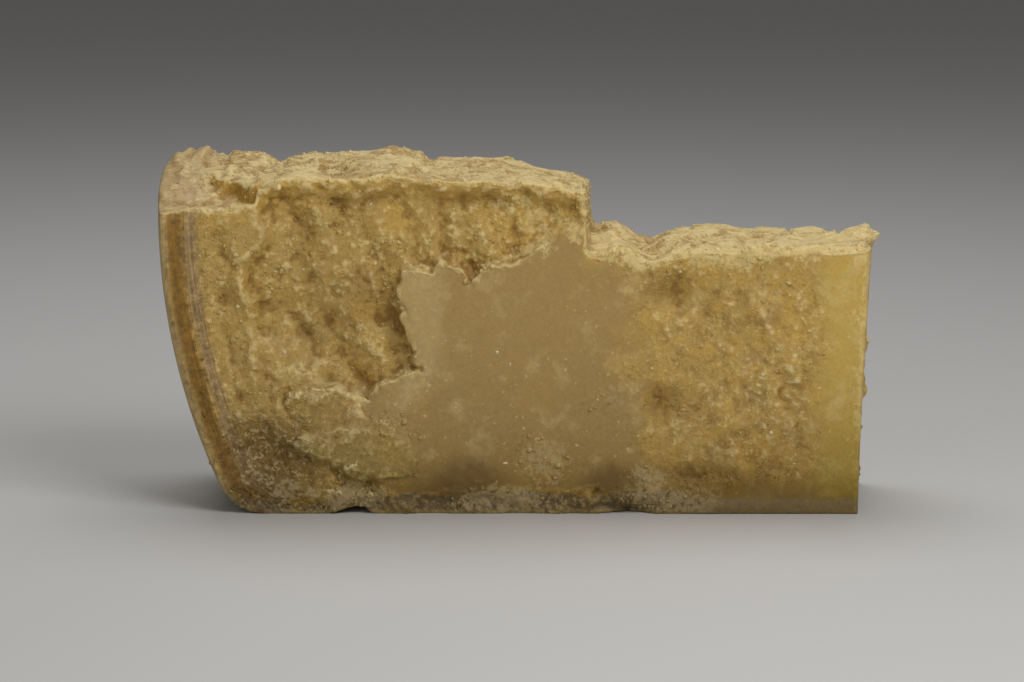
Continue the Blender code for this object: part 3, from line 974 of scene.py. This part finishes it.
def paste_finish(name, brightness, scatter):
    """Paste, rind and skin, made this bright and letting this much light through."""
    material, tree, shader = new_material(name, {
        "Subsurface Weight": scatter, "Subsurface Radius": (1.0, 0.62, 0.25),
        "Subsurface Scale": 0.003, "Specular IOR Level": 0.38})
    at = readings(tree)
    colour = fresh_paste(at)
    for layer in (broken_top, grain_colours, rind_colours, low_colours, outer_colours):
        colour = layer(at, colour)
    value = 1.0 + (at.grit - 0.5) * (0.4 + at.torn * 0.28 + at.plate * 0.4 + at.low_down * 0.2)
    value = value * (1.0 + (at.crumbs - 0.5) * (0.15 + at.plate * 0.7) + (at.mottle - 0.5) * 0.22)
    # Painted shade, partly browner paste: the whole paste darkens towards the base.
    dimming = at.base_gap.fall(0.0, 70.0) * 0.22 + at.base_gap.fall(0.0, 13.0) * 0.12
    value = value * (1.0 - dimming) * brightness
    tree.links.new(value.scaling(colour).socket, shader.inputs["Base Color"])

    dull = 0.44 + at.torn * 0.14 + (at.grit - 0.5) * 0.25 + at.skin * 0.08
    tree.links.new(dull.socket, shader.inputs["Roughness"])

    relief = at.crumbs * (0.15 + at.torn * 1.1) + at.grit * (0.2 + at.torn * 0.55)
    relief = relief + at.mottle * (0.25 + at.torn * 0.8)
    bump = relief.node("ShaderNodeBump", 0, {"Height": relief, "Strength": 0.65, "Distance": 0.0006})
    tree.links.new(bump.socket, shader.inputs["Normal"])
    return material


body_mesh.materials.clear()
body_mesh.materials.append(paste_finish("aged_paste", brightness=1.0, scatter=0.36))
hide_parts("cheese_chunk")
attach(body, "root")

# ------------------------------------------------------------
# Grains and crumbs of the tear.
# Hard paste breaks into rounded grains a millimetre or so across. Some stand half out of the
# torn surfaces, and loose drier crumbs cling along the lips, the plates and the foot.

GRAINS_PER_SQUARE_METRE = 620000.0
CRUMBS_PER_SQUARE_METRE = 1100000.0


def grain_nodes():
    """Node group: uneven grains bedded in a surface, thickest where the named share is high."""
    tree = bpy.data.node_groups.new("bedded_grains", "GeometryNodeTree")
    sockets = (
        ("Surface", "Geometry"), ("Share", "String"), ("Per Square Metre", "Float"),
        ("Smallest", "Float"), ("Largest", "Float"), ("Sunk", "Float"), ("Unevenness", "Float"),
        ("Seed", "Int"), ("Finish", "Material"))
    for name, kind in sockets:
        tree.interface.new_socket(name, in_out="INPUT", socket_type="NodeSocket" + kind)
    tree.interface.new_socket("Grains", in_out="OUTPUT", socket_type="NodeSocketGeometry")
    given = {socket.name: Field(tree, socket) for socket in tree.nodes.new("NodeGroupInput").outputs}
    start = Field(tree)
    seed, smallest = given["Seed"], given["Smallest"]

    share = start.node("GeometryNodeInputNamedAttribute", "Attribute", {"Name": given["Share"]})
    density = share * given["Per Square Metre"]
    values = {"Mesh": given["Surface"], "Density": density, "Seed": seed}
    points = start.node("GeometryNodeDistributePointsOnFaces", "Points", values)
    outward = Field(tree, points.socket.node.outputs["Normal"])
    chance = start.node("FunctionNodeRandomValue", 1, {"Seed": seed + 1})
    size = smallest + (given["Largest"] - smallest) * chance * chance * chance
    offset = (size * given["Sunk"] * -1.0).scaling(outward)
    points = points.node("GeometryNodeSetPosition", 0, {"Geometry": points, "Offset": offset})

    shape = start.node("GeometryNodeMeshIcoSphere", "Mesh", {"Radius": 1.0, "Subdivisions": 1})
    turn = start.node("FunctionNodeRandomValue", 0, {"Max": (6.28, 6.28, 6.28), "Seed": seed},
                      data_type="FLOAT_VECTOR")
    stretch = start.node("FunctionNodeRandomValue", 0, {
        "Min": (0.55, 0.55, 0.55), "Max": (1.45, 1.45, 1.45), "Seed": seed + 2}, data_type="FLOAT_VECTOR")
    grains = start.node("GeometryNodeInstanceOnPoints", 0, {
        "Points": points, "Instance": shape, "Rotation": turn, "Scale": size.scaling(stretch)})
    tone = start.node("FunctionNodeRandomValue", 1, {"Seed": seed + 3}) * 1.3 - 0.9
    grains = grains.node("GeometryNodeStoreNamedAttribute", 0, {
        "Geometry": grains, "Name": "pit", "Value": tone}, domain="INSTANCE")
    grains = grains.node("GeometryNodeRealizeInstances", 0, {"Geometry": grains})

    place = start.node("GeometryNodeInputPosition", 0)
    wobble = start.node("ShaderNodeTexNoise", "Color", {"Vector": place, "Scale": 1300.0, "Detail": 0.0})
    values = {0: wobble, 1: (0.5, 0.5, 0.5)}
    centred = wobble.node("ShaderNodeVectorMath", 0, values, operation="SUBTRACT")
    offset = given["Unevenness"].scaling(centred)
    grains = grains.node("GeometryNodeSetPosition", 0, {"Geometry": grains, "Offset": offset})
    grains = grains.node("GeometryNodeSetShadeSmooth", 0, {"Geometry": grains})
    grains = grains.node("GeometryNodeSetMaterial", 0, {"Geometry": grains, "Material": given["Finish"]})
    output = tree.nodes.new("NodeGroupOutput")
    tree.links.new(grains.socket, output.inputs["Grains"])
    return tree


GRAIN_NODES = grain_nodes()


def grown(name, material, **inputs):
    """Grow a piece of grains on the body, none reaching below its base, by the group's inputs."""
    holder = placed("holder", body_mesh)
    modifier = holder.modifiers.new("grains", "NODES")
    modifier.node_group = GRAIN_NODES
    wanted = {title.replace("_", " ").title(): value for title, value in inputs.items()}
    wanted["Finish"] = material
    for item in GRAIN_NODES.interface.items_tree:
        if item.in_out == "INPUT" and item.name in wanted:
            modifier[item.identifier] = wanted[item.name]
    graph = bpy.context.evaluated_depsgraph_get()
    evaluated = holder.evaluated_get(graph)
    mesh = bpy.data.meshes.new_from_object(evaluated, preserve_all_data_layers=True, depsgraph=graph)
    bpy.data.objects.remove(holder)
    spots, _, _ = read_points(mesh)
    spots[:, 2] = np.maximum(spots[:, 2], cad_low.z)
    write_points(mesh, spots)
    mesh.name = name
    piece = placed(name, mesh)
    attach(piece, "root")


grown("paste_grains", paste_finish("grain_paste", brightness=1.0, scatter=0.0), share="grain_share",
      per_square_metre=GRAINS_PER_SQUARE_METRE, smallest=0.00026, largest=0.00085,
      sunk=0.4, unevenness=0.0009, seed=5)
grown("dry_crumbs", paste_finish("crumb_paste", brightness=1.15, scatter=0.0), share="crumb_share",
      per_square_metre=CRUMBS_PER_SQUARE_METRE, smallest=0.00024, largest=0.001,
      sunk=0.25, unevenness=0.0009, seed=9)

# ------------------------------------------------------------
# Crystals.
# White specks of crystallised protein, up to about a millimetre and a half across, scattered
# through the paste and cut or bared by the tear.

CRYSTALS_PER_SQUARE_METRE = 4200.0
CRYSTAL_DARK = (0.6, 0.48, 0.29, 1)
CRYSTAL_LIGHT = (0.77, 0.66, 0.46, 1)


def crystal_finish():
    """Hard, slightly glassy white crystal."""
    material, tree, shader = new_material("crystal", {"Roughness": 0.42})
    tone = noise(object_place(tree), 700.0, 2.0).mix(CRYSTAL_DARK, CRYSTAL_LIGHT)
    tree.links.new(tone.socket, shader.inputs["Base Color"])
    return material


grown("crystals", crystal_finish(), share="crystal_share",
      per_square_metre=CRYSTALS_PER_SQUARE_METRE, smallest=0.00022, largest=0.00078,
      sunk=0.35, unevenness=0.0007, seed=3)

# ------------------------------------------------------------
# Studio: a plain pale table, and soft light from the front right, the front left and above.

LIT_POINT = Vector((0.0, 0.0, 0.05))


def soft_light(name, place, size, power):
    """A square area light turned towards the middle of the chunk."""
    data = bpy.data.lights.new(name, "AREA")
    data.size = size
    data.energy = power
    light = placed(name, data)
    light.location = place
    light.rotation_euler = (LIT_POINT - Vector(place)).to_track_quat("-Z", "Y").to_euler()


def studio_floor():
    """A pale matt table top."""
    mesh = bpy.data.meshes.new("table_top")
    half = 3.0
    level = cad_low.z
    corners = [(-half, -half, level), (half, -half, level), (half, half, level), (-half, half, level)]
    mesh.from_pydata(corners, [], [(0, 1, 2, 3)])
    finish = {"Base Color": (0.56, 0.55, 0.535, 1.0), "Roughness": 0.7}
    mesh.materials.append(new_material("pale_table", finish)[0])
    placed("table_top", mesh)


studio_floor()
soft_light("key", (0.3, -0.5, 0.56), 0.42, 3.0)
soft_light("front", (-0.3, -0.85, 0.22), 0.6, 1.4)
soft_light("overhead", (-0.05, 0.3, 0.8), 0.6, 3.0)

world = bpy.data.worlds.new("studio")
world.use_nodes = True
world.node_tree.nodes["Background"].inputs["Color"].default_value = (1.0, 0.99, 0.97, 1.0)
world.node_tree.nodes["Background"].inputs["Strength"].default_value = 0.12
bpy.context.scene.world = world
bpy.context.scene.view_settings.view_transform = "Standard"

# The camera: a long lens, nearly level, looking a little down on the front.
DISTANCE = 1.5
ELEVATION = math.radians(9.0)
VIEW_WIDTH = 0.3072
AIM = Vector((-0.0022, FRONT_FLAT_Y, cad_low.z + 0.0529))
lens_data = bpy.data.cameras.new("camera")
lens_data.lens = lens_data.sensor_width * DISTANCE / VIEW_WIDTH
camera = placed("camera", lens_data)
back = Vector((0.0, -math.cos(ELEVATION), math.sin(ELEVATION)))
camera.location = AIM + DISTANCE * back
camera.rotation_euler = (-back).to_track_quat("-Z", "Y").to_euler()
bpy.context.scene.camera = camera
